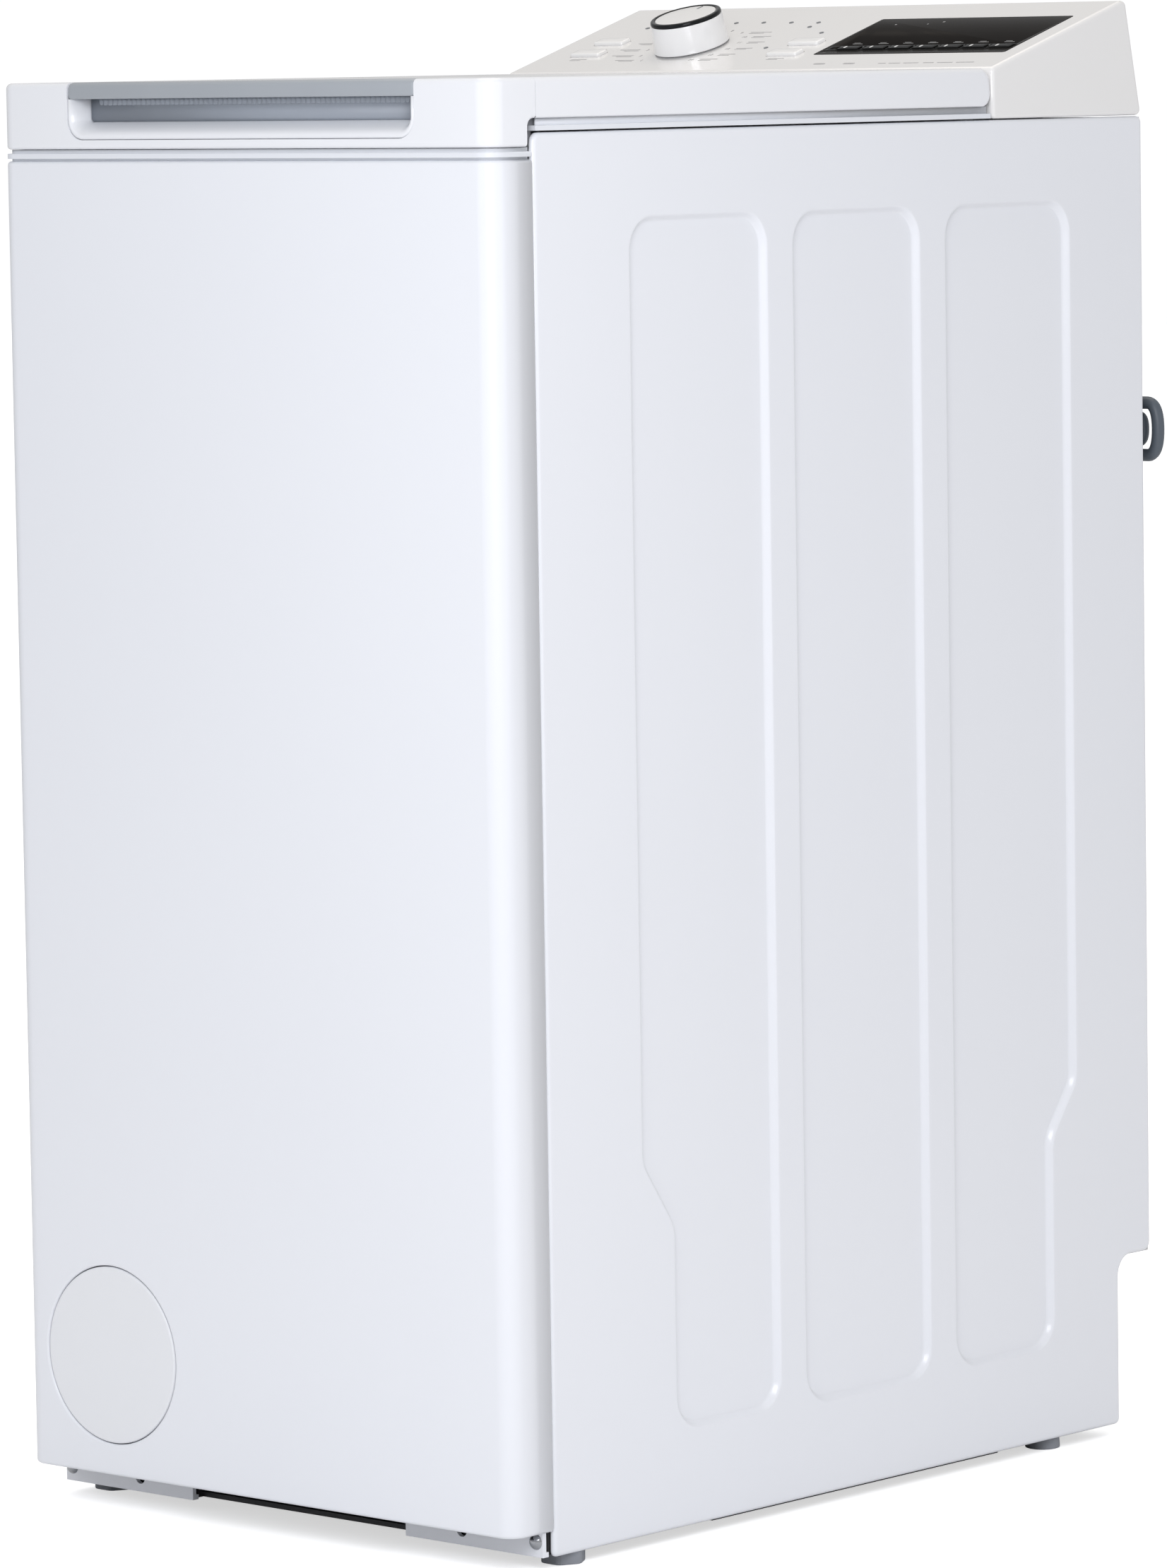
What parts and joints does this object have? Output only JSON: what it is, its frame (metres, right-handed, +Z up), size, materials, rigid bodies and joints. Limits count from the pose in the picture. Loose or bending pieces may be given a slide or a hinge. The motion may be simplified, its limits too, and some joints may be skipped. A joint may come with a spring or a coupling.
{
  "type": "top load washing machine",
  "caption": "Slim upright washing machine with a hinged top lid, sloping control console, cross-mounted drum with flaps, pressed side panels and a tied mains lead at the back.",
  "frame": {"origin": "on the floor, under the middle of the cabinet", "axes": "+Z up; the front with the round filter cover faces -Y; the machine's right side, seen from the front, is +X"},
  "size_m": [0.4, 0.6455, 0.9025],
  "materials": {
    "white_paint": "satin enamel paint",
    "filter_cover_white": "satin moulded plastic",
    "rear_steel": "galvanised and painted",
    "base_plastic": "moulded, textured",
    "feet_grey": "moulded",
    "screw_steel": "bright zinc",
    "frame_plastic": "satin moulded",
    "lid_plastic": "glossy moulded",
    "grip_plastic": "satin, blue grey",
    "liner_plastic": "satin moulded",
    "tray_plastic": "moulded",
    "console_plastic": "satin moulded",
    "knob_plastic": "glossy",
    "button_plastic": "satin",
    "key_plastic": "glossy black",
    "display_black": "glossy black window",
    "board_green": "printed circuit board",
    "lock_plastic": "moulded",
    "bellows_rubber": "soft",
    "tub_plastic": "filled polypropylene",
    "heater_steel": "drawn tube",
    "concrete": "cast weight",
    "motor_aluminium": "die cast",
    "shaft_steel": "turned",
    "belt_rubber": "ribbed",
    "drum_steel": "perforated stainless",
    "lifter_plastic": "moulded",
    "pulley_aluminium": "die cast",
    "pump_plastic": "moulded",
    "pump_blue": "moulded",
    "valve_plastic": "moulded",
    "cord_grey": "flexible sheath",
    "gland_plastic": "moulded"
  },
  "bodies": {
    "cabinet": {"front_panel": "white_paint", "side_panel_left": "white_paint", "side_panel_right": "white_paint", "front_crossbar": "white_paint", "rear_panel": "rear_steel", "base_frame": "base_plastic", "rear_feet": "feet_grey", "screws": "screw_steel", "top_frame": "frame_plastic", "console_body": "console_plastic", "display_window": "display_black", "circuit_boards": "board_green", "lid_lock": "lock_plastic", "neck_bellows": "bellows_rubber", "suspension_springs": "shaft_steel", "pump_housing": "pump_plastic", "drain_pipe": "pump_plastic", "inlet_valve": "valve_plastic", "mains_cord": "cord_grey", "cord_hank": "cord_grey", "plug": "cord_grey", "cord_gland": "gland_plastic", "cord_clip": "gland_plastic"},
    "lid": {"lid_cover": "lid_plastic", "lid_front_trim": "lid_plastic", "lid_grip": "grip_plastic", "lid_liner": "liner_plastic"},
    "dispenser_tray": {"dispenser_tray": "tray_plastic"},
    "tub_unit": {"tub": "tub_plastic", "heater": "heater_steel", "counterweights": "concrete", "motor_body": "motor_aluminium", "damper_rods": "shaft_steel", "bearings": "shaft_steel", "drive_belt": "belt_rubber"},
    "drum": {"drum_shell": "drum_steel", "drum_lifters": "lifter_plastic", "drum_shafts": "shaft_steel", "drum_pulley": "pulley_aluminium"},
    "motor_rotor": {"motor_rotor": "shaft_steel"},
    "drum_flap_front": {"drum_flap_front": "drum_steel"},
    "drum_flap_rear": {"drum_flap_rear": "drum_steel"},
    "flap_button": {"flap_button": "lifter_plastic"},
    "foot_left": {"foot_front_left": "feet_grey"},
    "foot_right": {"foot_front_right": "feet_grey"},
    "knob": {"programme_knob": "knob_plastic"},
    "button_1": {"option_button_1": "button_plastic"},
    "button_2": {"option_button_2": "button_plastic"},
    "button_3": {"option_button_3": "button_plastic"},
    "button_4": {"option_button_4": "button_plastic"},
    "key_1": {"display_key_1": "key_plastic"},
    "key_2": {"display_key_2": "key_plastic"},
    "key_3": {"display_key_3": "key_plastic"},
    "key_4": {"display_key_4": "key_plastic"},
    "key_5": {"display_key_5": "key_plastic"},
    "key_6": {"display_key_6": "key_plastic"},
    "key_7": {"display_key_7": "key_plastic"},
    "filter_cover": {"filter_cover": "filter_cover_white"},
    "pump_filter": {"pump_filter": "pump_blue"},
    "pump_impeller": {"pump_impeller": "pump_blue"}
  },
  "joints": [
    {"name": "lid_hinge", "type": "hinge", "parent": "cabinet", "child": "lid", "pos_m": [0, 0.142, 0.851], "axis": [-1, 0, 0], "range_deg": [0, 93]},
    {"name": "tray_slide", "type": "slide", "parent": "lid", "child": "dispenser_tray", "axis": [0, -1, 0], "range_m": [0, 0.04]},
    {"name": "tub_bounce", "type": "slide", "parent": "cabinet", "child": "tub_unit", "axis": [0, 0, 1], "range_m": [-0.012, 0.01], "stiffness_N_per_m": 12000, "springref_m": 0.02846, "deforming": ["suspension_springs", "neck_bellows"]},
    {"name": "drum_spin", "type": "hinge", "parent": "tub_unit", "child": "drum", "pos_m": [0, -0.045, 0.47], "axis": [1, 0, 0], "continuous": true},
    {"name": "motor_spin", "type": "hinge", "parent": "tub_unit", "child": "motor_rotor", "pos_m": [0, 0.12, 0.19], "axis": [1, 0, 0], "continuous": true},
    {"name": "flap_front_hinge", "type": "hinge", "parent": "drum", "child": "drum_flap_front", "pos_m": [0, -0.16114, 0.64885], "axis": [-1, 0, 0], "range_deg": [0, 68]},
    {"name": "flap_rear_hinge", "type": "hinge", "parent": "drum", "child": "drum_flap_rear", "pos_m": [0, 0.07114, 0.64885], "axis": [1, 0, 0], "range_deg": [0, 68]},
    {"name": "flap_button_press", "type": "slide", "parent": "drum_flap_front", "child": "flap_button", "axis": [0, 0.1045, -0.9945], "range_m": [0, 0.003], "stiffness_N_per_m": 500},
    {"name": "foot_left_turn", "type": "hinge", "parent": "cabinet", "child": "foot_left", "pos_m": [-0.185, -0.241, 0.02], "axis": [0, 0, 1], "continuous": true},
    {"name": "foot_right_turn", "type": "hinge", "parent": "cabinet", "child": "foot_right", "pos_m": [0.185, -0.241, 0.02], "axis": [0, 0, 1], "continuous": true},
    {"name": "knob_turn", "type": "hinge", "parent": "cabinet", "child": "knob", "pos_m": [-0.084, 0.20045, 0.87546], "axis": [0, -0.2974, 0.9548], "continuous": true},
    {"name": "button_1_press", "type": "slide", "parent": "cabinet", "child": "button_1", "axis": [0, 0.2974, -0.9548], "range_m": [0, 0.0015], "stiffness_N_per_m": 500},
    {"name": "button_2_press", "type": "slide", "parent": "cabinet", "child": "button_2", "axis": [0, 0.2974, -0.9548], "range_m": [0, 0.0015], "stiffness_N_per_m": 500},
    {"name": "button_3_press", "type": "slide", "parent": "cabinet", "child": "button_3", "axis": [0, 0.2974, -0.9548], "range_m": [0, 0.0015], "stiffness_N_per_m": 500},
    {"name": "button_4_press", "type": "slide", "parent": "cabinet", "child": "button_4", "axis": [0, 0.2974, -0.9548], "range_m": [0, 0.0015], "stiffness_N_per_m": 500},
    {"name": "key_1_press", "type": "slide", "parent": "cabinet", "child": "key_1", "axis": [0, 0.2974, -0.9548], "range_m": [0, 0.0008], "stiffness_N_per_m": 500},
    {"name": "key_2_press", "type": "slide", "parent": "cabinet", "child": "key_2", "axis": [0, 0.2974, -0.9548], "range_m": [0, 0.0008], "stiffness_N_per_m": 500},
    {"name": "key_3_press", "type": "slide", "parent": "cabinet", "child": "key_3", "axis": [0, 0.2974, -0.9548], "range_m": [0, 0.0008], "stiffness_N_per_m": 500},
    {"name": "key_4_press", "type": "slide", "parent": "cabinet", "child": "key_4", "axis": [0, 0.2974, -0.9548], "range_m": [0, 0.0008], "stiffness_N_per_m": 500},
    {"name": "key_5_press", "type": "slide", "parent": "cabinet", "child": "key_5", "axis": [0, 0.2974, -0.9548], "range_m": [0, 0.0008], "stiffness_N_per_m": 500},
    {"name": "key_6_press", "type": "slide", "parent": "cabinet", "child": "key_6", "axis": [0, 0.2974, -0.9548], "range_m": [0, 0.0008], "stiffness_N_per_m": 500},
    {"name": "key_7_press", "type": "slide", "parent": "cabinet", "child": "key_7", "axis": [0, 0.2974, -0.9548], "range_m": [0, 0.0008], "stiffness_N_per_m": 500},
    {"name": "cover_pull", "type": "slide", "parent": "cabinet", "child": "filter_cover", "axis": [0, -1, 0], "range_m": [0, 0.03]},
    {"name": "filter_turn", "type": "hinge", "parent": "cabinet", "child": "pump_filter", "pos_m": [-0.1265, -0.25, 0.0965], "axis": [0, -1, 0], "range_deg": [0, 270]},
    {"name": "impeller_spin", "type": "hinge", "parent": "cabinet", "child": "pump_impeller", "pos_m": [-0.1265, -0.14, 0.0965], "axis": [0, 1, 0], "continuous": true}
  ],
  "couplings": [
    {"joint": "motor_spin", "follows": "drum_spin", "ratio": 13}
  ]
}
